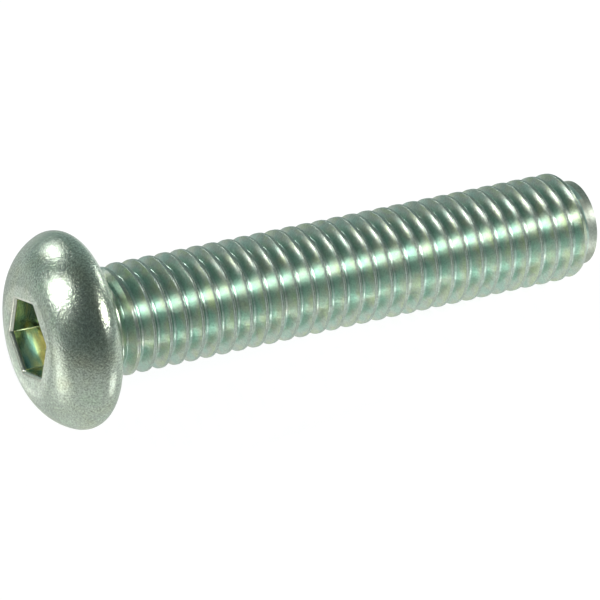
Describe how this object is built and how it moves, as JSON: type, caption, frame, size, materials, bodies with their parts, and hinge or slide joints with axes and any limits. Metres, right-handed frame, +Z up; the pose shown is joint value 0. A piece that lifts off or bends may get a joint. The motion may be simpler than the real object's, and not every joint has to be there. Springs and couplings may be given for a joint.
{
  "type": "button head screw",
  "caption": "Button head screw with a low domed head, a hexagon socket and a threaded shank; clamps parts through a hole into a nut or tapped hole.",
  "frame": {"origin": "centre of the bearing face, the flat ring under the head", "axes": "+Z up, as the screw lies on a table; its axis is in the XZ plane, with the point towards +X and dipping 4.35 degrees below level"},
  "size_m": [0.0448, 0.014, 0.014],
  "materials": {
    "zinc_plated_steel": "satin, clear passivated zinc"
  },
  "bodies": {
    "root": {"button_head_screw": "zinc_plated_steel"}
  },
  "joints": []
}
